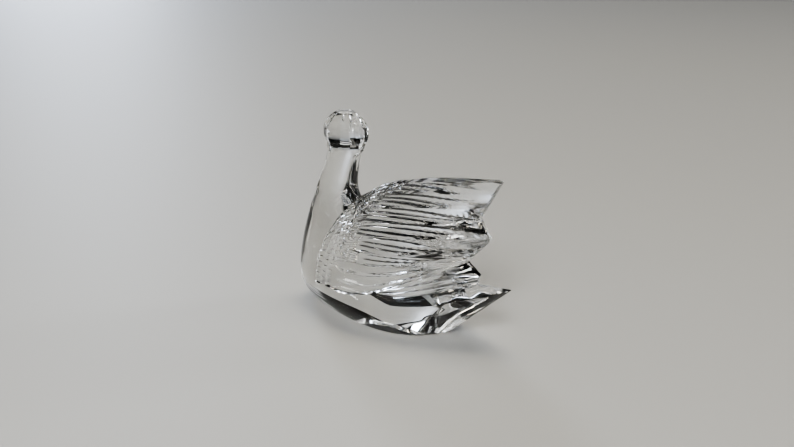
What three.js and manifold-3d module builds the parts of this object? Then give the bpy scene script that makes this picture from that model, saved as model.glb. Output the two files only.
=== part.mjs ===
// A swan figurine in solid clear crystal, resting on its own flat underside.
//
// Millimetres, +Z up. The swan faces -X and its two sides mirror each other in the plane y = 0.
// The origin is the middle of the flat underside. The pose and the carving of the figure are kept
// as shares of its length (along X), its height (up Z) and its half width (out from y = 0).

import * as THREE from 'three';
import { mergeVertices } from 'three/addons/utils/BufferGeometryUtils.js';
import Module from 'manifold-3d';

const wasm = await Module();
wasm.setup();

// Overall sizes of the figure
const length = 109.5;
const height = 95;
const width = 40;

// The flat underside and the small bevel ground around it
const footLength = 75.5;
const footWidth = 29;
const footBevel = 1.2;

// The glass left at the edges of the wings, from side to side
const crestThickness = 4;
const edgeThickness = 2.8;

// Depth of the cuts in the wings
const fluteDepth = 0.9;
const lowerFluteDepth = 0.8;
const cellDepth = 0.9;

// The V-shaped cut that parts the wings behind the neck
const valleyWidth = 9;
const valleyLength = 26;
const valleyDepth = 15;

// The scoop with which the cut over the tail starts, under the wings
const scoopDepth = 5.5;

// How deep the lower feathers sink into the tail's upper faces
const fanSink = 1.5;

// The bill, from the front of the neck back into it
const billDepth = 5.5;

// The eye on each side of the head is a shallow round cut
const eyeRadius = 2;
const eyeDepth = 0.3;

// Counts
const feathers = 8;
const lowerFeathers = 4;
const covertColumns = 3;
const covertRows = 16;
const headFacets = 8;

// Mesh steps
const stepsPerFeather = 4;
const stepsPerCell = 2;
const stepsAlongFeather = 13;
const lowerStepsAlong = 9;
const ringSteps = 6 * headFacets;

const halfWidth = width / 2;
const spot = (x, z) => new THREE.Vector2(x * length, z * height);

// A smooth curve through pairs of [place, value], read at one place
function through(keys, place) {
  const last = keys.length - 1;
  if (place <= keys[0][0]) return keys[0][1];
  if (place >= keys[last][0]) return keys[last][1];
  const k = keys.findIndex((key) => key[0] > place) - 1;
  const slope = (i) => {
    const before = keys[Math.max(i - 1, 0)];
    const after = keys[Math.min(i + 1, last)];
    return (after[1] - before[1]) / (after[0] - before[0]);
  };
  const span = keys[k + 1][0] - keys[k][0];
  const t = (place - keys[k][0]) / span;
  const rise = keys[k + 1][1] - keys[k][1];
  const bend = t * (1 - t);
  const start = slope(k) * span - rise;
  const end = slope(k + 1) * span - rise;
  return keys[k][1] + rise * t + bend * ((1 - t) * start - t * end);
}

// Straight lines through pairs of [place, point]
function alongCorners(corners, place) {
  const k = Math.max(1, corners.findIndex((corner) => corner[0] >= place));
  const [from, a] = corners[k - 1];
  const [to, b] = corners[k];
  return a.clone().lerp(b, (place - from) / (to - from));
}

function closedMesh(points, triangles) {
  const geometry = new THREE.BufferGeometry();
  const flat = points.flatMap((p) => [p.x, p.y, p.z]);
  geometry.setAttribute('position', new THREE.Float32BufferAttribute(flat, 3));
  geometry.setIndex(triangles);
  return geometry;
}

function solidOf(geometry) {
  const bare = geometry.clone();
  bare.deleteAttribute('normal');
  bare.deleteAttribute('uv');
  const merged = mergeVertices(bare, 1e-4);
  return new wasm.Manifold(new wasm.Mesh({
    numProp: 3,
    vertProperties: new Float32Array(merged.attributes.position.array),
    triVerts: new Uint32Array(merged.index.array),
  }));
}

// A solid through level rings, each a list of points counter-clockwise seen from above
function loft(rings) {
  const count = rings[0].length;
  const points = rings.flat();
  const triangles = [];
  for (let i = 0; i < rings.length - 1; i++) {
    for (let j = 0; j < count; j++) {
      const a = i * count + j;
      const b = i * count + (j + 1) % count;
      triangles.push(a, b, b + count, a, b + count, a + count);
    }
  }
  const middle = (ring) => ring.reduce((sum, p) => sum.add(p), new THREE.Vector3()).divideScalar(count);
  const low = points.push(middle(rings[0])) - 1;
  const high = points.push(middle(rings[rings.length - 1])) - 1;
  const top = (rings.length - 1) * count;
  for (let j = 0; j < count; j++) {
    const next = (j + 1) % count;
    triangles.push(low, next, j, high, top + j, top + next);
  }
  return closedMesh(points, triangles);
}

// A level ring whose front and back reach differ. t runs from the widest place to an end, and
// (1 - t^power)^root is round with 2 and 0.5, squarer with more, and pointed with root 1.
function ring(z, { front, back, widest, half, frontPower, frontRoot, backPower, backRoot }) {
  const points = [];
  for (let j = 0; j < ringSteps; j++) {
    const angle = (j / ringSteps) * 2 * Math.PI;
    const t = Math.abs(Math.cos(angle));
    const ahead = Math.cos(angle) < 0;
    const reach = ahead ? front - widest : back - widest;
    const power = ahead ? frontPower : backPower;
    const root = ahead ? frontRoot : backRoot;
    const out = half * Math.pow(Math.max(0, 1 - Math.pow(t, power)), root);
    points.push(new THREE.Vector3(widest + reach * t, out * Math.sign(Math.sin(angle)), z));
  }
  return points;
}

// Body: one smooth form from the foot up through the breast and the neck. Below, each level is a
// long boat shape that ends in the tail. Above the deck only the breast and the neck go on up.
// Each row: height, front, widest place, half width.
const body = [
  [0.055, -0.362, 0.07, 0.83],
  [0.12, -0.372, 0.06, 0.91],
  [0.2, -0.374, 0.03, 0.91],
  [0.25, -0.37, -0.04, 0.82],
  [0.31, -0.361, -0.11, 0.72],
  [0.38, -0.347, -0.148, 0.63],
  [0.46, -0.326, -0.162, 0.53],
  [0.53, -0.304, -0.175, 0.45],
  [0.58, -0.285, -0.181, 0.39],
  [0.63, -0.27, -0.183, 0.35],
  [0.685, -0.25, -0.173, 0.33],
  [0.74, -0.227, -0.157, 0.32],
  [0.8, -0.206, -0.1425, 0.32],
];
const footKeys = [0, -footLength / 2 / length, 0.07, footWidth / width];
const bodyKeys = (item) => [footKeys, ...body].map((row) => [row[0], row[item]]);
const bodyFront = bodyKeys(1);
const bodyWidest = bodyKeys(2);
const bodyHalf = bodyKeys(3);
const neckBack = [[0.3, 0.09], [0.38, 0.05], [0.46, 0], [0.53, -0.046], [0.58, -0.078],
  [0.63, -0.094], [0.685, -0.094], [0.74, -0.086], [0.8, -0.077]];
const deck = 0.305;
const neckStart = 0.318;
const neckTop = 0.8;
const tailRun = 1.03;
const frontPower = [[0, 1.55], [0.08, 1.95], [0.15, 2], [0.4, 2], [0.6, 2.5]];
const frontRoot = [[0, 1], [0.04, 0.75], [0.1, 0.56], [0.15, 0.5], [0.4, 0.5], [0.6, 0.4]];
const sternPower = [[0, 2.65], [0.15, 2.7], [0.24, 3.9], [0.3, 4.5]];

function bodyRing(up, inset) {
  const power = through(frontPower, up);
  const root = through(frontRoot, up);
  const belowDeck = up <= deck;
  const tail = footLength / 2 + tailRun * up * height;
  return ring(up * height, {
    front: through(bodyFront, up) * length + inset,
    back: (belowDeck ? tail : through(neckBack, up) * length) - inset,
    widest: through(bodyWidest, up) * length,
    half: through(bodyHalf, up) * halfWidth - inset,
    frontPower: power,
    frontRoot: root,
    backPower: belowDeck ? through(sternPower, up) : power,
    backRoot: belowDeck ? 1 : root,
  });
}

// The tail's two upper faces slope from a ridge in the middle down to the hull's edge. They start
// in a scoop under the wings.
const ridge = { x: 0.471 * length, z: 0.294 * height, rise: 0.076 };
const roofSlope = 0.486;
const scoopStart = 0.03 * length;
const scoopEnd = 0.17 * length;
const pastTail = 0.7 * length;
const overDeck = 1;

function roofHeight(x, y) {
  const leadIn = THREE.MathUtils.clamp((scoopEnd - x) / (scoopEnd - scoopStart), 0, 1);
  return ridge.z + ridge.rise * (x - ridge.x) - roofSlope * Math.abs(y) + scoopDepth * leadIn;
}

function roofCutter(side) {
  const corner = (x, y, z) => new THREE.Vector3(x, side * y, z);
  const sections = [
    [scoopStart, deck * height + overDeck],
    [scoopEnd, height],
    [pastTail, height],
  ];
  const points = sections.flatMap(([x, top]) => [
    corner(x, 0, roofHeight(x, 0)),
    corner(x, width, roofHeight(x, width)),
    corner(x, width, top),
    corner(x, 0, top),
  ]);
  const faces = [0, 3, 2, 0, 2, 1, 8, 9, 10, 8, 10, 11];
  for (const near of [0, 4]) {
    for (let k = 0; k < 4; k++) {
      const a = near + k;
      const b = near + (k + 1) % 4;
      faces.push(a, b, b + 4, a, b + 4, a + 4);
    }
  }
  return closedMesh(points, side > 0 ? faces : faces.slice().reverse());
}

// Head: a knob with eight facets under a small crown, wider than the neck. Each row of its
// profile: height, share of the full width.
const head = { x: -0.134 * length, reach: 0.088 * length, half: 0.39 * halfWidth };
const collar = 0.818;
const headProfile = [[collar, 0.8], [0.84, 0.835], [0.862, 0.93], [0.885, 1], [0.93, 0.99],
  [0.96, 0.84], [0.985, 0.63], [1, 0.44]];

function headRing(up) {
  const share = through(headProfile, up);
  const facet = (2 * Math.PI) / headFacets;
  const points = [];
  for (let j = 0; j < ringSteps; j++) {
    const angle = (j / ringSteps) * 2 * Math.PI;
    const offMiddle = (angle + facet / 2) % facet - facet / 2;
    const out = share / Math.cos(offMiddle);
    const x = head.x + head.reach * out * Math.cos(angle);
    points.push(new THREE.Vector3(x, head.half * out * Math.sin(angle), up * height));
  }
  return points;
}

function bodyNeckAndHead() {
  const bevel = footBevel / height;
  const rings = [bodyRing(0, footBevel), bodyRing(bevel, 0)];
  const hullLevels = 10;
  for (let i = 1; i <= hullLevels; i++) {
    rings.push(bodyRing(bevel + (deck - bevel) * (i / hullLevels), 0));
  }
  const neckLevels = 17;
  for (let i = 0; i <= neckLevels; i++) {
    rings.push(bodyRing(neckStart + (neckTop - neckStart) * (i / neckLevels), 0));
  }
  const headLevels = 12;
  for (let i = 0; i <= headLevels; i++) {
    rings.push(headRing(collar + (1 - collar) * (i / headLevels)));
  }
  return loft(rings);
}

// Bill: tucked down on to the front of the neck
const billTop = 0.9;
const billTip = 0.69;
const billFront = [[0.69, -0.251], [0.74, -0.2385], [0.8, -0.2225], [0.84, -0.2235], [0.9, -0.221]];
const billHalf = [[0.69, 0.05], [0.74, 0.11], [0.8, 0.155], [0.9, 0.18]];

function bill() {
  const rings = [];
  const levels = 9;
  for (let i = 0; i <= levels; i++) {
    const up = billTip + (billTop - billTip) * (i / levels);
    const front = through(billFront, up) * length;
    const back = front + billDepth;
    rings.push(ring(up * height, {
      front,
      back,
      widest: (front + back) / 2,
      half: through(billHalf, up) * halfWidth,
      frontPower: 2,
      frontRoot: 0.5,
      backPower: 2,
      backRoot: 0.5,
    }));
  }
  return loft(rings);
}

const eyeForward = 0.3;
const eyeHeight = 0.915;

function eyeCutter(side) {
  const x = head.x - eyeForward * head.reach;
  const y = side * (head.half * through(headProfile, eyeHeight) + eyeRadius - eyeDepth);
  return new THREE.IcosahedronGeometry(eyeRadius, 3).translate(x, y, eyeHeight * height);
}

// Wings: u runs from -1 at the leading edge over the small covert feathers to 0, and on along the
// long feathers to 1 at the trailing edge. v runs from 0 at the crest to 1 at the lower edge.
const leadingEdge = new THREE.CubicBezierCurve(spot(-0.03, 0.63), spot(-0.119, 0.547),
  spot(-0.21, 0.379), spot(-0.21, 0.179));
const covertLine = new THREE.CubicBezierCurve(spot(0.149, 0.716), spot(0, 0.653),
  spot(-0.1, 0.4), spot(-0.11, 0.189));
const rowSpacing = 0.76;
const tip = spot(0.56, 0.796);
const upperNotch = spot(0.478, 0.613);
const secondTip = spot(0.5225, 0.5295);
const lowerNotch = spot(0.4255, 0.3875);

// Where each feather ends on the trailing edge, counted in feathers from the crest
const trailingEdge = [
  [0, spot(0.541, 0.799)],
  [0.25, tip],
  [1, spot(0.538, 0.7465)],
  [2, spot(0.5047, 0.6725)],
  [2.5, upperNotch],
  [3, spot(0.489, 0.592)],
  [4, secondTip],
  [4.25, spot(0.5105, 0.5)],
  [5, spot(0.466, 0.443)],
  [6, spot(0.446, 0.413)],
  [feathers, lowerNotch],
];
const featherBow = [[0, 0.009], [0.25, 0.014], [0.6, 0.011], [0.75, -0.03], [0.88, -0.042], [1, -0.043]];
const crestBow = 0.012;

// An arch that rises early along a feather and is highest, at 1, a third of the way
const earlyArch = (s) => 6.75 * s * (1 - s) * (1 - s);
const arch = (s) => 4 * s * (1 - s);

function wingSpot(u, v) {
  const t = Math.pow(v, rowSpacing);
  const covert = covertLine.getPoint(t);
  if (u <= 0) {
    const point = leadingEdge.getPoint(t).lerp(covert, 1 + u);
    point.y += crestBow * height * arch(1 + u) * Math.pow(1 - v, 4);
    return point;
  }
  const point = covert.lerp(alongCorners(trailingEdge, v * feathers), u);
  point.y += through(featherBow, v) * height * earlyArch(u);
  return point;
}

// Half the thickness, before the carving. The leading edge widens downward, the line behind the
// coverts widens from the crest to nearly the full width, and the feathers thin out from there.
const leadingShare = { crest: 0.35, low: 0.43 };
const covertShare = { crest: 1.5, low: 0.96, bend: 0.95 };
const thinning = 1.8;
const swelling = { crest: 0.03, low: 0.15 };

function wingHalf(u, v) {
  const widen = (bend) => Math.sin(0.5 * Math.PI * Math.pow(v, bend));
  const atLeading = (leadingShare.crest + leadingShare.low * widen(1)) * halfWidth;
  const crest = crestThickness / 2;
  const top = crest * covertShare.crest;
  const atCovert = top + (covertShare.low * halfWidth - top) * widen(covertShare.bend);
  if (u <= 0) return atLeading + (atCovert - atLeading) * (1 + u);
  const thin = edgeThickness / 2;
  const swell = (swelling.crest + swelling.low * v) * halfWidth;
  const rear = thin + (crest - thin) * (1 - v) * (1 - v);
  return rear + (atCovert - rear) * (1 - Math.pow(u, thinning)) + swell * arch(u);
}

// A flute takes most of its feather's width and leaves a narrow land beside it. It ends in a long
// rounded thumb cut short of the trailing edge, and runs out shallow from there. Each row: how far
// down the wing, where the flute there ends along its feather.
const fluteEnds = [[0.06, 0.56], [0.19, 0.87], [0.31, 0.93], [0.44, 0.92], [0.56, 0.87], [0.69, 0.8]];
const fluteStart = 0.08;
const fluteShare = 0.88;
const fluteRunOut = 0.3;
const tipShare = 0.3;

function flute(along, across, end) {
  const inFlute = THREE.MathUtils.clamp((across - 0.5) / fluteShare + 0.5, 0, 1);
  const hollow = arch(inFlute);
  const stop = end + fluteRunOut * (hollow - 1);
  const fade = THREE.MathUtils.clamp((stop - along) / fluteRunOut, 0, 1);
  return hollow * (tipShare + (1 - tipShare) * fade * (2 - fade));
}

function wingCut(u, v) {
  if (u >= 0) {
    const number = Math.min(Math.floor(v * feathers), feathers - 1);
    const end = through(fluteEnds, (number + 0.5) / feathers);
    return fluteDepth * flute(u, (v * feathers) % 1, end) * Math.min(1, u / fluteStart);
  }
  const column = (1 + u) * covertColumns;
  const shift = 0.5 * (Math.floor(column) % 2);
  const row = v * covertRows + shift;
  return cellDepth * arch(column % 1) * arch(row % 1);
}

// A solid that reaches from a carved sheet on the left side to its mirror image on the right
function betweenSides(sheet) {
  const across = sheet.length;
  const down = sheet[0].length;
  const points = [];
  for (const side of [-1, 1]) {
    for (const row of sheet) {
      for (const p of row) {
        points.push(new THREE.Vector3(p.x, side * p.y, p.z));
      }
    }
  }
  const left = (i, j) => i * down + j;
  const right = (i, j) => across * down + i * down + j;
  const triangles = [];
  const quad = (a, b, c, d) => triangles.push(a, b, c, a, c, d);
  for (let i = 0; i < across - 1; i++) {
    for (let j = 0; j < down - 1; j++) {
      quad(left(i, j), left(i, j + 1), left(i + 1, j + 1), left(i + 1, j));
      quad(right(i, j), right(i + 1, j), right(i + 1, j + 1), right(i, j + 1));
    }
    const j = down - 1;
    quad(left(i, 0), left(i + 1, 0), right(i + 1, 0), right(i, 0));
    quad(left(i + 1, j), left(i, j), right(i, j), right(i + 1, j));
  }
  for (let j = 0; j < down - 1; j++) {
    const i = across - 1;
    quad(left(0, j), right(0, j), right(0, j + 1), left(0, j + 1));
    quad(left(i, j), left(i, j + 1), right(i, j + 1), right(i, j));
  }
  return closedMesh(points, triangles);
}

function wings() {
  const places = [];
  const covertSteps = covertColumns * stepsPerCell;
  for (let i = 0; i < covertSteps; i++) {
    places.push(-1 + i / covertSteps);
  }
  for (let i = 0; i <= stepsAlongFeather; i++) {
    places.push(i / stepsAlongFeather);
  }
  const down = feathers * stepsPerFeather;
  const sheet = places.map((u) => {
    const row = [];
    for (let j = 0; j <= down; j++) {
      const v = j / down;
      const p = wingSpot(u, v);
      row.push(new THREE.Vector3(p.x, wingHalf(u, v) - wingCut(u, v), p.y));
    }
    return row;
  });
  return betweenSides(sheet);
}

// Lower feathers: a short fan that comes out from under the wing's lower edge and sweeps over the
// tail. s runs back along the feathers. w runs from 0, tucked inside the wing, to 1, sunk into the
// tail's upper face.
const fanStart = 0.3;
const fanLine = 0.96;
const fanTuck = 0.15;
const fanFront = 0.03 * length;
const fanRear = 0.4675 * length;
const fanLowHalf = 0.84 * halfWidth;
const fanThinning = 1.7;
const fanTip = spot(0.483, 0.339);
const fanFluteStart = 0.25;
const fanFluteEnd = 0.86;

function fanEdges(s) {
  const thin = edgeThickness / 2;
  const along = fanStart + (1 - fanStart) * s;
  const line = wingSpot(along, fanLine);
  const topHalf = thin + (wingHalf(along, fanLine) - thin) * (1 - fanTuck);
  const x = fanFront + (fanRear - fanFront) * s;
  const lowHalf = thin + (fanLowHalf - thin) * (1 - Math.pow(s, fanThinning));
  return [
    new THREE.Vector3(line.x, topHalf, line.y),
    new THREE.Vector3(x, lowHalf, roofHeight(x, lowHalf) - fanSink),
  ];
}

function fanPoint(s, w) {
  const [top, low] = fanEdges(s);
  const [lastTop, lastLow] = fanEdges(1);
  const toTip = 1 - Math.abs(2 * w - 1);
  const point = top.lerp(low, w);
  point.x += (fanTip.x - (lastTop.x + lastLow.x) / 2) * toTip * s * s;
  point.z += (fanTip.y - (lastTop.z + lastLow.z) / 2) * toTip * s * s;
  return point;
}

function lowerFan() {
  const down = lowerFeathers * stepsPerFeather;
  const sheet = [];
  for (let i = 0; i <= lowerStepsAlong; i++) {
    const s = i / lowerStepsAlong;
    const row = [];
    for (let j = 0; j <= down; j++) {
      const p = fanPoint(s, j / down);
      const hollow = flute(s, (j / stepsPerFeather) % 1, fanFluteEnd);
      p.y -= lowerFluteDepth * hollow * Math.min(1, s / fanFluteStart);
      row.push(p);
    }
    sheet.push(row);
  }
  return betweenSides(sheet);
}

// The valley between the wings is one V-shaped cut, deepest behind the neck. It starts a little in
// front of the wings and its floor runs out on the crest.
const valleyLead = 0.06 * length;
const valleyEnd = 0.745 * height;

function valleyCutter() {
  const front = leadingEdge.getPoint(0);
  const x0 = front.x - valleyLead;
  const floor = front.y - valleyDepth;
  const rise = (valleyEnd - floor) / (valleyLength + valleyLead);
  const x1 = x0 + valleyLength * 2;
  const over = 2;
  const half = (valleyWidth / 2) * over;
  const points = [x0, x1].flatMap((x) => {
    const z = floor + rise * (x - x0);
    const top = z + valleyDepth * over;
    return [
      new THREE.Vector3(x, 0, z),
      new THREE.Vector3(x, half, top),
      new THREE.Vector3(x, -half, top),
    ];
  });
  return closedMesh(points, [0, 2, 1, 3, 4, 5, 0, 1, 4, 0, 4, 3, 1, 2, 5, 1, 5, 4, 2, 0, 3, 2, 3, 5]);
}

function swan() {
  let whole = solidOf(bodyNeckAndHead()).add(solidOf(bill()));
  for (const side of [-1, 1]) {
    whole = whole.subtract(solidOf(roofCutter(side))).subtract(solidOf(eyeCutter(side)));
  }
  const valley = solidOf(valleyCutter());
  whole = whole.add(solidOf(wings()).subtract(valley)).add(solidOf(lowerFan()));
  const mesh = whole.getMesh();
  const geometry = new THREE.BufferGeometry();
  geometry.setAttribute('position', new THREE.Float32BufferAttribute(mesh.vertProperties, 3));
  geometry.setIndex(Array.from(mesh.triVerts));
  return geometry;
}

const crystal = new THREE.MeshStandardMaterial({
  name: 'clear_crystal',
  color: 0xf4f8f8,
  roughness: 0.02,
  metalness: 0,
  transparent: true,
  opacity: 0.35,
});

const figurine = new THREE.Group();
const figure = new THREE.Mesh(swan(), crystal);
figure.name = 'swan';
figurine.add(figure);

export default figurine;
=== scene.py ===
# %% [markdown]
# # A swan in clear cut crystal
#
# The figurine is one solid piece of lead crystal: a smooth hull that runs up into a leaning neck and
# a knob of a head, and two raised wings whose feathers are cut as flutes. Clear glass shows nothing
# but what its own surface bends, so nearly all the work below goes into that surface. Each form is
# made as a closed mesh from a few formulas, and the forms are then fused into one watertight solid,
# because light has to pass through one body of glass and not through several that overlap.

import math

import bpy
import numpy as np
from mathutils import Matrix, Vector


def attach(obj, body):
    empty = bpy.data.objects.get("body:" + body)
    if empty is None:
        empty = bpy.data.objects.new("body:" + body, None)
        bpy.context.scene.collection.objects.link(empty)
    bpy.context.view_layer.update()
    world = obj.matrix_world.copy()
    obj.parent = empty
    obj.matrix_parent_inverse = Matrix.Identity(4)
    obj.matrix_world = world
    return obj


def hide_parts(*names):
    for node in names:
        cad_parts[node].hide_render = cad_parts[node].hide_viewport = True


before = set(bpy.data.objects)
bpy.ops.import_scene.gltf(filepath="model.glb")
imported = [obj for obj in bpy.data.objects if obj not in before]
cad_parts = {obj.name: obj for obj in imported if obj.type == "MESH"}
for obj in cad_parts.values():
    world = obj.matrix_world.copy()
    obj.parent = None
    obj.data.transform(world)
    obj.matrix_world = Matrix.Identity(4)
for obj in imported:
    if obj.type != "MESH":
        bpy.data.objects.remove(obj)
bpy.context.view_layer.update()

# %% [markdown]
# ## Sizes
#
# All lengths are in millimetres, and only the last step turns them into Blender's metres. The pose
# and the carving are shares of the figure's length, height and half width, so `spot` turns a pair
# of shares into a place in the side view. The swan faces -X and its sides mirror each other.

# %% Sizes of the figure
MM = 0.001
length = 109.5
height = 95.0
width = 40.0
half_width = width / 2
foot_length = 75.5
foot_width = 29.0
foot_bevel = 1.2


def spot(x, z):
    return np.array([x * length, z * height])


print(f"figure {length} x {width} x {height} mm on a foot of {foot_length} x {foot_width} mm")

# %% [markdown]
# ## Curves
#
# A form that swells and narrows is easiest to steer by a few values along it and a smooth curve
# through them. `through` is such a curve. `bezier` is the usual four-point curve, and
# `along_corners` runs straight from point to point, for edges that are cut with a wheel.

# %% Curve helpers
def through(keys, place):
    """A smooth curve through pairs of (place, value), level beyond both ends."""
    at, value = np.array(keys, float).T
    place = np.clip(place, at[0], at[-1])
    k = np.clip(np.searchsorted(at, place, side="right") - 1, 0, len(at) - 2)
    index = np.arange(len(at))
    before = np.maximum(index - 1, 0)
    after = np.minimum(index + 1, len(at) - 1)
    slope = (value[after] - value[before]) / (at[after] - at[before])
    span = at[k + 1] - at[k]
    rise = value[k + 1] - value[k]
    t = (place - at[k]) / span
    start = slope[k] * span - rise
    end = slope[k + 1] * span - rise
    return value[k] + rise * t + t * (1 - t) * ((1 - t) * start - t * end)


def along_corners(corners, place):
    """Straight lines through pairs of (place, point)."""
    at = np.array([corner[0] for corner in corners], float)
    points = np.array([corner[1] for corner in corners])
    return np.stack([np.interp(place, at, points[:, i]) for i in (0, 1)], axis=-1)


def bezier(a, b, c, d, t):
    t = np.asarray(t, float)[..., None]
    s = 1 - t
    return s**3 * a + 3 * s * s * t * b + 3 * s * t * t * c + t**3 * d


def arch(s):
    return 4 * s * (1 - s)


def early_arch(s):
    """Rises early along a feather and is highest, at 1, a third of the way."""
    return 6.75 * s * (1 - s) ** 2


def smooth_step(t):
    t = np.clip(t, 0, 1)
    return t * t * (3 - 2 * t)


print("halfway up a rise from 0 to 1 the curve reads", float(through([(0, 0), (1, 1)], 0.5)))

# %% [markdown]
# ## Meshes
#
# Two ways of making a closed mesh are enough for the whole figure. A **loft** joins level rings of
# points and closes both ends, which suits the hull, neck and head. A **grid** of points between
# the left side and its mirror image suits the wings. `MM` is applied once, where a mesh is made.

# %% Mesh helpers
def mesh_object(name, points, faces):
    mesh = bpy.data.meshes.new(name)
    mesh.from_pydata((np.asarray(points) * MM).tolist(), [], faces)
    mesh.validate()
    piece = bpy.data.objects.new(name, mesh)
    bpy.context.scene.collection.objects.link(piece)
    return piece


def loft(name, rings):
    """A closed mesh through level rings, each counter-clockwise seen from above."""
    count = len(rings[0])
    points = np.concatenate(rings)
    faces = []
    for i in range(len(rings) - 1):
        for j in range(count):
            a = i * count + j
            b = i * count + (j + 1) % count
            faces.append((a, b, b + count, a + count))
    faces.append(tuple(range(count))[::-1])
    top = (len(rings) - 1) * count
    faces.append(tuple(range(top, top + count)))
    return mesh_object(name, points, faces)


def between_sides(name, sheet):
    """A closed mesh from a carved sheet on the left side (-Y) to its mirror image."""
    across, down, _ = sheet.shape
    left = sheet * (1, -1, 1)
    points = np.concatenate([left.reshape(-1, 3), sheet.reshape(-1, 3)])
    number = np.arange(across * down).reshape(across, down)
    other = number + across * down
    faces = []
    for i in range(across - 1):
        for j in range(down - 1):
            faces.append((number[i, j], number[i, j + 1], number[i + 1, j + 1], number[i + 1, j]))
            faces.append((other[i, j], other[i + 1, j], other[i + 1, j + 1], other[i, j + 1]))
        faces.append((number[i, 0], number[i + 1, 0], other[i + 1, 0], other[i, 0]))
        faces.append((number[i + 1, -1], number[i, -1], other[i, -1], other[i + 1, -1]))
    for j in range(down - 1):
        faces.append((number[0, j], other[0, j], other[0, j + 1], number[0, j + 1]))
        faces.append((number[-1, j], number[-1, j + 1], other[-1, j + 1], other[-1, j]))
    return mesh_object(name, points, [tuple(int(n) for n in face) for face in faces])


# %% [markdown]
# ## Hull, breast and neck
#
# The real one is a single smooth form: a flat pointed-oval foot with a small ground bevel, a full
# breast, an S-shaped neck and a wedge of a tail. Each level is a closed outline whose front and
# back are shaped apart, so the tail can be pointed while the breast is round. `t` runs from the
# widest place to an end, and `(1 - t^power)^root` is round with 2 and 0.5, squarer with more, and
# pointed with a root of 1.

# %% Level outlines
ring_steps = 144


def level_outline(z, front, back, widest, half, front_shape, back_shape):
    angle = np.arange(ring_steps) / ring_steps * 2 * math.pi
    t = np.abs(np.cos(angle))
    ahead = np.cos(angle) < 0
    reach = np.where(ahead, front - widest, back - widest)
    power = np.where(ahead, front_shape[0], back_shape[0])
    root = np.where(ahead, front_shape[1], back_shape[1])
    out = half * np.maximum(0, 1 - t**power) ** root
    x = widest + reach * t
    return np.stack([x, out * np.sign(np.sin(angle)), np.full(ring_steps, z)], axis=1)


# %% The body's levels
# Each row: height, front, widest place, half width.
body = [
    (0, -foot_length / 2 / length, 0.07, foot_width / width),
    (0.055, -0.362, 0.07, 0.83),
    (0.12, -0.372, 0.06, 0.91),
    (0.2, -0.374, 0.03, 0.91),
    (0.25, -0.37, -0.04, 0.82),
    (0.31, -0.361, -0.11, 0.72),
    (0.38, -0.347, -0.148, 0.63),
    (0.46, -0.326, -0.162, 0.53),
    (0.53, -0.304, -0.175, 0.45),
    (0.58, -0.285, -0.181, 0.39),
    (0.63, -0.27, -0.183, 0.35),
    (0.685, -0.25, -0.173, 0.33),
    (0.74, -0.227, -0.157, 0.32),
    (0.8, -0.206, -0.1425, 0.32),
]
neck_back = [(0.3, 0.09), (0.38, 0.05), (0.46, 0), (0.53, -0.046), (0.58, -0.078),
             (0.63, -0.094), (0.685, -0.094), (0.74, -0.086), (0.8, -0.077)]
deck = 0.305
neck_start = 0.318
neck_top = 0.8
tail_run = 1.03
front_power = [(0, 1.55), (0.08, 1.95), (0.15, 2), (0.4, 2), (0.6, 2.5)]
front_root = [(0, 1), (0.04, 0.75), (0.1, 0.56), (0.15, 0.5), (0.4, 0.5), (0.6, 0.4)]
stern_power = [(0, 2.65), (0.15, 2.7), (0.24, 3.9), (0.3, 4.5)]


def body_level(up, inset=0.0):
    front, widest, half = (through([(row[0], row[i]) for row in body], up) for i in (1, 2, 3))
    shape = (through(front_power, up), through(front_root, up))
    if up <= deck:
        back = foot_length / 2 + tail_run * up * height
        back_shape = (through(stern_power, up), 1.0)
    else:
        back = through(neck_back, up) * length
        back_shape = shape
    return level_outline(up * height, front * length + inset, back - inset, widest * length,
                         half * half_width - inset, shape, back_shape)


# %% [markdown]
# ## Head and bill
#
# The head is a knob cut with eight facets, wider than the neck, under a small domed crown. It is
# lofted in the same stack of rings as the neck: a facet is flat in plan, so its ring is an
# eight-sided figure with the corners left in. The bill is tucked down on to the front of the neck,
# where it lies in low relief, and the eye on each side is a shallow round cut.

# %% Head levels and bill
head_x = -0.134 * length
head_reach = 0.088 * length
head_half = 0.39 * half_width
head_facets = 8
collar = 0.818
# Each row: height, share of the full width.
head_profile = [(collar, 0.8), (0.84, 0.835), (0.862, 0.93), (0.885, 1), (0.93, 0.99),
                (0.96, 0.84), (0.985, 0.63), (1, 0.44)]


def head_level(up):
    share = through(head_profile, up)
    angle = np.arange(ring_steps) / ring_steps * 2 * math.pi
    turn = 2 * math.pi / head_facets
    off_facet = (angle + turn / 2) % turn - turn / 2
    out = share / np.cos(off_facet)
    return np.stack([head_x + head_reach * out * np.cos(angle), head_half * out * np.sin(angle),
                     np.full(ring_steps, up * height)], axis=1)


bill_top = 0.9
bill_tip = 0.69
bill_front = [(0.69, -0.251), (0.74, -0.2385), (0.8, -0.2225), (0.84, -0.2235), (0.9, -0.221)]
bill_half = [(0.69, 0.05), (0.74, 0.11), (0.8, 0.155), (0.9, 0.18)]
bill_depth = 0.05 * length


def bill_level(up):
    front = through(bill_front, up) * length
    return level_outline(up * height, front, front + bill_depth, front + bill_depth / 2,
                         through(bill_half, up) * half_width, (2, 0.5), (2, 0.5))


# %% Loft the body, neck and head
hull_levels, neck_levels, head_levels, bill_levels = 37, 64, 40, 30
bevel = foot_bevel / height
levels = [body_level(0, foot_bevel), body_level(bevel)]
levels += [body_level(up) for up in np.linspace(bevel, deck, hull_levels)[1:]]
levels += [body_level(up) for up in np.linspace(neck_start, neck_top, neck_levels)]
levels += [head_level(up) for up in np.linspace(collar, 1, head_levels)]
body_and_head = loft("swan", levels)
bill = loft("bill", [bill_level(up) for up in np.linspace(bill_tip, bill_top, bill_levels)])
print("body, neck and head:", len(body_and_head.data.polygons), "faces; bill:", len(bill.data.polygons))

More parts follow.
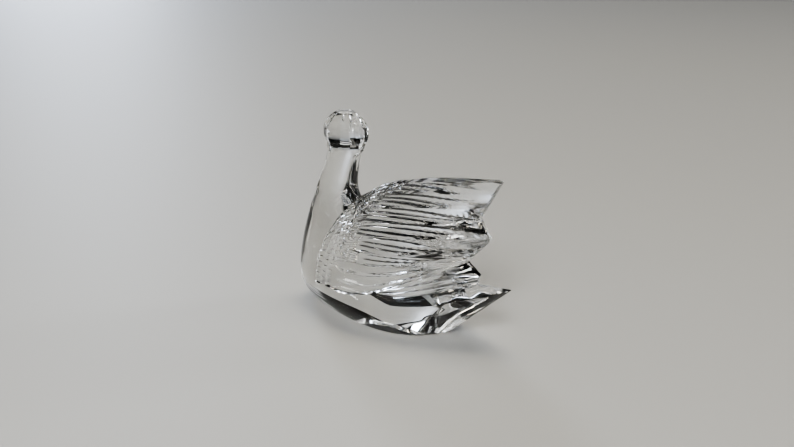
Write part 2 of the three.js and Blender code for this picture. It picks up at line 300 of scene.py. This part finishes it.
# %% [markdown]
# ## Cutters
#
# The tail's two flat upper faces and the eyes are cut with a wheel on the real one. A cutter is a
# mesh that the Boolean modifier takes away. The two tail faces slope from a ridge in the middle down
# to the hull's edge, and in front, under the wings, each starts with a steeper scoop.

# %% Cutters
ridge_x, ridge_z = spot(0.471, 0.294)
ridge_rise = 0.076
roof_slope = 0.486
scoop_start = 0.03 * length
scoop_end = 0.17 * length
scoop_rise = 5.5
scoop_clearance = 1.0
tail_end = 0.7 * length


def roof_height(x, y):
    lead_in = np.clip((scoop_end - x) / (scoop_end - scoop_start), 0, 1)
    return ridge_z + ridge_rise * (x - ridge_x) - roof_slope * np.abs(y) + scoop_rise * lead_in


def roof_cutter(side):
    """Three four-cornered sections, from the start of the scoop to past the tail tip."""
    corners = []
    tops = [(scoop_start, deck * height + scoop_clearance), (scoop_end, height), (tail_end, height)]
    for x, top in tops:
        corners += [(x, 0, roof_height(x, 0)), (x, side * width, roof_height(x, width)),
                    (x, side * width, top), (x, 0, top)]
    faces = [(0, 3, 2, 1), (8, 9, 10, 11)]
    for near in (0, 4):
        for k in range(4):
            a, b = near + k, near + (k + 1) % 4
            faces.append((a, b, b + 4, a + 4))
    return mesh_object("tail_cutter", corners, faces if side > 0 else [face[::-1] for face in faces])


eye_radius = 2.0
eye_depth = 0.3
eye_forward = 0.3
eye_height = 0.915


def eye_cutter(side):
    bpy.ops.mesh.primitive_ico_sphere_add(subdivisions=5, radius=eye_radius * MM)
    eye = bpy.context.object
    out = head_half * through(head_profile, eye_height) + eye_radius - eye_depth
    eye.location = Vector((head_x - eye_forward * head_reach, side * out, eye_height * height)) * MM
    return eye


# %% [markdown]
# ## Wings
#
# On a wing, `u` runs from -1 at the leading edge over three columns of small covert feathers to 0,
# and on along the long feathers to 1 at the trailing edge. `v` runs from 0 at the crest to 1 at the
# lower edge. Two curves and a row of corners give the side view, and `wing_half` gives how far the
# surface lies from the middle plane, before anything is carved into it.

# %% Wing outline and thickness
feathers = 8
row_spacing = 0.76
leading_edge = [spot(-0.03, 0.63), spot(-0.119, 0.547), spot(-0.21, 0.379), spot(-0.21, 0.179)]
covert_line = [spot(0.149, 0.716), spot(0, 0.653), spot(-0.1, 0.4), spot(-0.11, 0.189)]
trailing_edge = [
    (0, spot(0.541, 0.799)),
    (0.25, spot(0.56, 0.796)),
    (1, spot(0.538, 0.7465)),
    (2, spot(0.5047, 0.6725)),
    (2.5, spot(0.478, 0.613)),
    (3, spot(0.489, 0.592)),
    (4, spot(0.5225, 0.5295)),
    (4.25, spot(0.5105, 0.5)),
    (5, spot(0.466, 0.443)),
    (6, spot(0.446, 0.413)),
    (feathers, spot(0.4255, 0.3875)),
]
feather_bow = [(0, 0.009), (0.25, 0.014), (0.6, 0.011), (0.75, -0.03), (0.88, -0.042), (1, -0.043)]
crest_bow = 0.012
crest_bow_fade = 4
crest_thickness = 4.0
edge_thickness = 2.8
# Shares of the half width, at the crest and how much is gained further down the wing.
leading_share, leading_gain = 0.35, 0.43
swell_share, swell_gain = 0.03, 0.15
covert_share = 0.96
# The coverts' ridge at the crest is this much thicker than the blade.
covert_crest = 1.5
covert_power = 0.95
feather_power = 1.8


def wing_side_view(u, v):
    t = v**row_spacing
    covert = bezier(*covert_line, t)
    leading = bezier(*leading_edge, t)
    forward = np.clip(1 + u, 0, 1)[..., None]
    back = np.clip(u, 0, 1)[..., None]
    point = leading + (covert - leading) * forward
    point = point + (along_corners(trailing_edge, v * feathers) - covert) * back
    over_coverts = crest_bow * arch(np.clip(1 + u, 0, 1)) * (1 - v) ** crest_bow_fade
    over_feathers = through(feather_bow, v) * early_arch(np.clip(u, 0, 1))
    point[..., 1] += (over_coverts + over_feathers) * height
    return point


def wing_half(u, v):
    at_leading = (leading_share + leading_gain * np.sin(0.5 * math.pi * v)) * half_width
    crest = crest_thickness / 2
    covert_top = crest * covert_crest
    around = np.sin(0.5 * math.pi * v**covert_power)
    at_covert = covert_top + (covert_share * half_width - covert_top) * around
    thin = edge_thickness / 2
    rear = thin + (crest - thin) * (1 - v) ** 2
    s = np.clip(u, 0, 1)
    swell = (swell_share + swell_gain * v) * half_width
    behind = rear + (at_covert - rear) * (1 - s**feather_power) + swell * arch(s)
    ahead = at_leading + (at_covert - at_leading) * (1 + u)
    return np.where(u < 0, ahead, behind)


# %% [markdown]
# The carving is cut into that surface. A flute is a round hollow that ends in a thumb cut short of
# the trailing edge. The coverts are rows of small round-bottomed cells laid like bricks, with a
# sharp ridge left standing between them.

# %% Wing carving
flute_depth = 0.9
flute_lead_in = 1 / 12
flute_run_out = 0.3
tip_share = 0.3
# Each row: how far down the wing, where the flute there ends along its feather.
flute_ends = [(0.06, 0.56), (0.19, 0.87), (0.31, 0.93), (0.44, 0.92), (0.56, 0.87), (0.69, 0.8),
              (1, 0.8)]
cell_depth = 0.9
cell_wall = 0.3
covert_columns = 3
covert_rows = 16
# Keeps u = 0 inside the last column.
last_column_hair = 1e-6


def flute_end(v):
    number = np.minimum(np.floor(v * feathers), feathers - 1)
    return through(flute_ends, (number + 0.5) / feathers)


def flute(along, across, end):
    hollow = arch(across)
    fade = np.clip((end + flute_run_out * (hollow - 1) - along) / flute_run_out, 0, 1)
    return hollow * (tip_share + (1 - tip_share) * fade * (2 - fade))


def cell(place):
    """Flat in the middle of a cell, with a steep wall up to the ridge on each side."""
    return smooth_step(np.minimum(place, 1 - place) / cell_wall)


def wing_cut(u, v):
    hollow = flute(u, (v * feathers) % 1, flute_end(v))
    fluted = flute_depth * hollow * np.clip(u / flute_lead_in, 0, 1)
    column = np.minimum((1 + u) * covert_columns, covert_columns - last_column_hair)
    shift = 0.5 * (np.floor(column) % 2)
    cells = cell_depth * cell(column % 1) * cell((v * covert_rows + shift) % 1)
    return np.where(u >= 0, fluted, cells)


# %% [markdown]
# Two finer things are added to the mesh. A wheel that cuts a hollow never runs quite true, so it
# leaves faint ripples across it. They follow the round end of the thumb cut and break up the light
# in the glass. And the trailing edge is polished to a small bevel.

# %% Ripples and edge bevel
ripple_height = 0.04
ripple_spacing = 3.0
rippled_share = 0.45
ripple_fade_at_end = 4.0
ripple_fade_at_start = 12.0
feather_length = 52.0
edge_bevel = 0.55
edge_bevel_start = 0.985


def ripples(u, v):
    hollow = arch((v * feathers) % 1)
    from_end = (flute_end(v) + flute_run_out * (hollow - 1) - u) * feather_length
    to_start = feather_length * rippled_share - from_end
    strength = smooth_step(from_end / ripple_fade_at_end) * smooth_step(to_start / ripple_fade_at_start)
    return ripple_height * hollow * strength * np.sin(2 * math.pi * from_end / ripple_spacing)


# %% Wing mesh
steps_per_cell = 8
steps_along_feather = 150
steps_per_feather = 20
u = np.concatenate([np.linspace(-1, 0, covert_columns * steps_per_cell + 1)[:-1],
                    np.linspace(0, edge_bevel_start, steps_along_feather + 1), [1]])
v = np.linspace(0, 1, feathers * steps_per_feather + 1)
u, v = np.meshgrid(u, v, indexing="ij")
side_view = wing_side_view(u, v)
out = wing_half(u, v) - wing_cut(u, v)
out += np.where(u > 0, ripples(u, v), 0)
out -= edge_bevel * np.clip((u - edge_bevel_start) / (1 - edge_bevel_start), 0, 1)
wings = between_sides("wings", np.stack([side_view[..., 0], out, side_view[..., 1]], axis=-1))
print("wings:", len(wings.data.polygons), "faces, widest", round(float(out.max()) * 2, 1), "mm")

# %% [markdown]
# ## Lower feathers
#
# Four shorter feathers come out from under the wing and sweep over the tail. They are a second
# grid: `s` runs back along the feathers and `w` across them, and their lower edge sinks a little
# into the tail's upper faces, so that the two fuse.

# %% Lower fan
lower_feathers = 4
lower_flute_depth = 0.8
lower_flute_lead_in = 0.25
lower_flute_end = 0.86
fan_start = 0.3
fan_line = 0.96
fan_tuck = 0.15
fan_front, fan_low = 0.03 * length, 0.4675 * length
fan_low_half = 0.84 * half_width
fan_taper = 1.7
fan_sink = 1.5
fan_tip = spot(0.483, 0.339)
fan_steps_along, fan_steps_per_feather = 60, 12
thin = edge_thickness / 2
s, w = np.meshgrid(np.linspace(0, 1, fan_steps_along + 1),
                   np.linspace(0, 1, lower_feathers * fan_steps_per_feather + 1), indexing="ij")
along = fan_start + (1 - fan_start) * s
top = wing_side_view(along, np.full_like(s, fan_line))
top_half = wing_half(along, fan_line)
top = np.stack([top[..., 0], thin + (top_half - thin) * (1 - fan_tuck), top[..., 1]], axis=-1)
low_x = fan_front + (fan_low - fan_front) * s
low_half = thin + (fan_low_half - thin) * (1 - s**fan_taper)
low = np.stack([low_x, low_half, roof_height(low_x, low_half) - fan_sink], axis=-1)
fan = top + (low - top) * w[..., None]
middle = (top[-1, 0] + low[-1, 0]) / 2
tip_reach = np.array([fan_tip[0] - middle[0], 0, fan_tip[1] - middle[2]])
fan = fan + tip_reach * ((1 - np.abs(2 * w - 1)) * s**2)[..., None]
hollow = flute(s, (w * lower_feathers) % 1, lower_flute_end)
fan[..., 1] -= lower_flute_depth * hollow * np.clip(s / lower_flute_lead_in, 0, 1)
lower_fan = between_sides("lower_fan", fan)
print("lower fan:", len(lower_fan.data.polygons), "faces")

# %% [markdown]
# ## The valley between the wings
#
# The wings are joined as one blade at the back. Behind the neck a V-shaped cut parts them. It is
# deepest at the front and runs out on the crest.

# %% Valley cutter
valley_width = 9.0
valley_length = 26.0
valley_depth = 15.0
valley_lead = 0.06 * length
valley_end = 0.745 * height


def valley_cutter():
    x0 = leading_edge[0][0] - valley_lead
    floor = leading_edge[0][1] - valley_depth
    rise = (valley_end - floor) / (valley_length + valley_lead)
    corners = []
    for x in (x0, x0 + valley_length * 2):
        z = floor + rise * (x - x0)
        corners += [(x, 0, z), (x, valley_width, z + 2 * valley_depth),
                    (x, -valley_width, z + 2 * valley_depth)]
    faces = [(0, 2, 1), (3, 4, 5), (0, 1, 4, 3), (1, 2, 5, 4), (2, 0, 3, 5)]
    return mesh_object("valley_cutter", corners, faces)


# %% [markdown]
# ## One body of glass
#
# The Boolean modifier fuses the forms and takes the cutters away. After that a face that turns
# less than the sharp angle from its neighbour is shaded smooth, so the flutes read as round
# hollows, and every cut edge stays crisp, as it does in polished crystal.

# %% Fuse the forms
def combine(piece, other, operation):
    boolean = piece.modifiers.new(operation.lower(), "BOOLEAN")
    boolean.object = other
    boolean.operation = operation
    boolean.solver = "MANIFOLD"
    bpy.context.view_layer.objects.active = piece
    bpy.ops.object.modifier_apply(modifier=boolean.name)
    bpy.data.objects.remove(other)


swan = body_and_head
combine(swan, bill, "UNION")
for side in (-1, 1):
    combine(swan, roof_cutter(side), "DIFFERENCE")
    combine(swan, eye_cutter(side), "DIFFERENCE")
combine(wings, valley_cutter(), "DIFFERENCE")
combine(swan, wings, "UNION")
combine(swan, lower_fan, "UNION")
print("one solid:", len(swan.data.polygons), "faces")

# %% Shade smooth between the cut edges
sharp_angle = math.radians(24)
swan.data.shade_smooth()
bpy.context.view_layer.objects.active = swan
swan.select_set(True)
bpy.ops.object.shade_smooth_by_angle(angle=sharp_angle)
swan.select_set(False)
sharp = sum(edge.use_edge_sharp for edge in swan.data.edges)
print("sharp edges:", sharp, "of", len(swan.data.edges))

# %% [markdown]
# ## Lead crystal
#
# The glass is lead crystal, pressed, cut and polished. It has hardly any colour of its own, bends
# light more than window glass (an index of refraction of about 1.55), and its polish is so fine that
# its roughness is nothing. Its see-through quality is a plain value on the shader. Fire polishing
# leaves very faint waves in the surface, about nine millimetres apart, and they make the light
# inside it swim, so a weak bump of that scale is the one pattern it gets.

# %% Crystal material
def linear(hex_colour):
    """An sRGB colour such as "c0ffee" as linear red, green, blue and alpha."""
    parts = [int(hex_colour[i:i + 2], 16) / 255 for i in (0, 2, 4)]
    return [c / 12.92 if c <= 0.04045 else ((c + 0.055) / 1.055) ** 2.4 for c in parts] + [1.0]


def add_node(tree, kind, settings=None, **links):
    """Adds a node. A setting names a socket or a property, and a link is (node, socket)."""
    node = tree.nodes.new(kind)
    for name, value in (settings or {}).items():
        if name in node.inputs:
            node.inputs[name].default_value = value
        else:
            setattr(node, name, value)
    for name, (source, socket) in links.items():
        tree.links.new(source.outputs[socket], node.inputs[name.replace("_", " ")])
    return node


def new_material(name):
    material = bpy.data.materials.new(name)
    material.use_nodes = True
    material.node_tree.nodes.clear()
    return material, material.node_tree


wave_spacing = 9.0
wave_height = 0.2
crystal, tree = new_material("clear_lead_crystal")
place = add_node(tree, "ShaderNodeTexCoord")
waves = add_node(tree, "ShaderNodeTexNoise", {"Scale": 1 / (wave_spacing * MM), "Detail": 1.0},
                 Vector=(place, "Object"))
bump = add_node(tree, "ShaderNodeBump", {"Strength": 0.08, "Distance": wave_height * MM},
                Height=(waves, "Fac"))
glass = add_node(tree, "ShaderNodeBsdfPrincipled",
                 {"Base Color": linear("fdfefe"), "IOR": 1.55, "Transmission Weight": 1.0,
                  "Roughness": 0.0}, Normal=(bump, "Normal"))
add_node(tree, "ShaderNodeOutputMaterial", Surface=(glass, "BSDF"))
swan.data.materials.clear()
swan.data.materials.append(crystal)
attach(swan, "root")
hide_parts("swan")
print("crystal: index of refraction", glass.inputs["IOR"].default_value)

# %% [markdown]
# ## Floor
#
# A plain sheet of pale paper, made far wider than any sheet, so that the light has nearly faded
# before its edge. It lies a tenth of a millimetre under the foot, because two faces at the very same
# height confuse the renderer. On the paper alone the wings look milky, because much of what they
# show lies under the foot. So the foot has a black card cut to its flat face. It is painted shade,
# standing in for the shade on the paper under the foot. The card is set a hair into the glass, so
# that no film of air is left between them. It shows only through the glass, where this painted
# shade draws the dark lines between the flutes. It is part of the studio and not of the swan.

# %% Floor
floor_size = 40.0
floor_gap = 0.1
bpy.ops.mesh.primitive_plane_add(size=floor_size, location=(0, 0, -floor_gap * MM))
floor = bpy.context.object
floor.name = "floor"
paper, tree = new_material("pale_paper")
sheet = add_node(tree, "ShaderNodeBsdfPrincipled", {"Base Color": linear("a4a4a2"), "Roughness": 0.6})
add_node(tree, "ShaderNodeOutputMaterial", Surface=(sheet, "BSDF"))
floor.data.materials.append(paper)
print("floor:", floor_size, "m wide,", floor_gap, "mm under the foot")

# %% Black card under the foot: painted shade
# The black card is painted shade: it stands in for the shade on the paper under the glass foot.
shade_card_contact = 0.002
shade_card_outline = body_level(0, foot_bevel) + (0, 0, shade_card_contact)
shade_card = mesh_object("painted_foot_shade", shade_card_outline, [tuple(range(ring_steps))])
black, tree = new_material("painted_shade_card")
matt = add_node(tree, "ShaderNodeBsdfPrincipled", {"Base Color": linear("080808"), "Roughness": 0.8})
add_node(tree, "ShaderNodeOutputMaterial", Surface=(matt, "BSDF"))
shade_card.data.materials.append(black)
print("card:", [round(size / MM, 1) for size in shade_card.dimensions[:2]], "mm")

# %% [markdown]
# ## Studio
#
# Glass has to be given something to show. Under an even white sky it would nearly vanish, and in a
# dark room its edges would be lost, so the studio is dark with rows of soft strip lights round it.
# The rows are low, where a rim looks at grazing angles, and the gaps between them draw the dark
# lines along the rims. One colour ramp places the strips by height and another round the room.

# %% Strip lights round the room
heights = [(0.02, 0.07), (0.1, 0.15), (0.22, 0.27), (0.5, 0.58)]
strip_count = 6
strip_spacing = 0.157
first_strip = (0.03, 0.14)
places = [[at + strip_spacing * k for at in first_strip] for k in range(strip_count)]
strip_edge = 0.01
strip_strength = 0.75

world = bpy.data.worlds.new("studio")
bpy.context.scene.world = world
world.use_nodes = True
tree = world.node_tree
direction = add_node(tree, "ShaderNodeTexCoord")
split = add_node(tree, "ShaderNodeSeparateXYZ", Vector=(direction, "Generated"))
turn = add_node(tree, "ShaderNodeTexGradient", {"gradient_type": "RADIAL"},
                Vector=(direction, "Generated"))
by_height = add_node(tree, "ShaderNodeValToRGB", Fac=(split, "Z"))
by_place = add_node(tree, "ShaderNodeValToRGB", Fac=(turn, "Fac"))
for ramp, bands in ((by_height, heights), (by_place, places)):
    elements = ramp.color_ramp.elements
    elements[1].position = 0.0
    elements[1].color = (0, 0, 0, 1)
    for start, end in bands:
        for at, value in ((start, 0), (start + strip_edge, 1), (end - strip_edge, 1), (end, 0)):
            elements.new(at).color = (value, value, value, 1)
strips = add_node(tree, "ShaderNodeMix", {"data_type": "RGBA", "blend_type": "MULTIPLY", "Factor": 1.0})
tree.links.new(by_height.outputs["Color"], strips.inputs["A"])
tree.links.new(by_place.outputs["Color"], strips.inputs["B"])
tree.links.new(strips.outputs["Result"], tree.nodes["Background"].inputs["Color"])
tree.nodes["Background"].inputs["Strength"].default_value = strip_strength
print("strips:", len(heights), "rows of", len(places))

# %% [markdown]
# Four soft boxes do the rest. The key light stands on the camera's side, so the swan's shade falls
# behind it. The overhead box is a little warm and one of those behind a little cool, for a hint of
# the yellow and blue that cut crystal splits off.

# %% Soft boxes
def soft_box(name, place, size, watts, colour):
    data = bpy.data.lights.new(name, "AREA")
    data.shape = "RECTANGLE"
    data.size, data.size_y = size
    data.energy = watts
    data.color = linear(colour)[:3]
    light = bpy.data.objects.new(name, data)
    light.location = place
    aim = Vector((0.01, 0, 0.045))
    light.rotation_euler = (aim - Vector(place)).to_track_quat("-Z", "Y").to_euler()
    bpy.context.scene.collection.objects.link(light)
    print(name, "soft box,", round((aim - Vector(place)).length, 2), "m away")


soft_box("key", (0.25, -0.75, 0.75), (0.35, 0.35), 8, "ffffff")
soft_box("overhead", (0.0, 0.3, 1.8), (1.2, 0.6), 20, "fff6e4")
soft_box("behind_left", (-2.25, 1.65, 0.9), (0.6, 1.5), 36, "e4eeff")
soft_box("behind_right", (2.25, 2.25, 0.9), (0.6, 1.5), 27, "f8fbff")

# %% [markdown]
# Light crosses this solid many times before it leaves, so paths may be long: with the usual limits
# the deep parts would turn black. A contrasty film look suits polished glass.

# %% Long light paths
cycles = bpy.context.scene.cycles
cycles.max_bounces = 32
cycles.transmission_bounces = 24
cycles.glossy_bounces = 16
bpy.context.scene.view_settings.look = "AgX - High Contrast"
print("light may bounce", cycles.max_bounces, "times")

# %% [markdown]
# ## Camera
#
# The view of the photo: from behind the swan's left side, looking down on it.

# %% Camera
azimuth = math.radians(30.95)
elevation = math.radians(22)
distance = 377.1 * MM
target = Vector((11.55, 0, 47.63)) * MM
back = Vector((math.sin(azimuth) * math.cos(elevation), -math.cos(azimuth) * math.cos(elevation),
               math.sin(elevation)))
camera = bpy.data.objects.new("camera", bpy.data.cameras.new("camera"))
camera.data.lens = 38.58
camera.data.clip_start = 0.01
camera.location = target + back * distance
camera.rotation_euler = (-back).to_track_quat("-Z", "Y").to_euler()
bpy.context.scene.collection.objects.link(camera)
bpy.context.scene.camera = camera
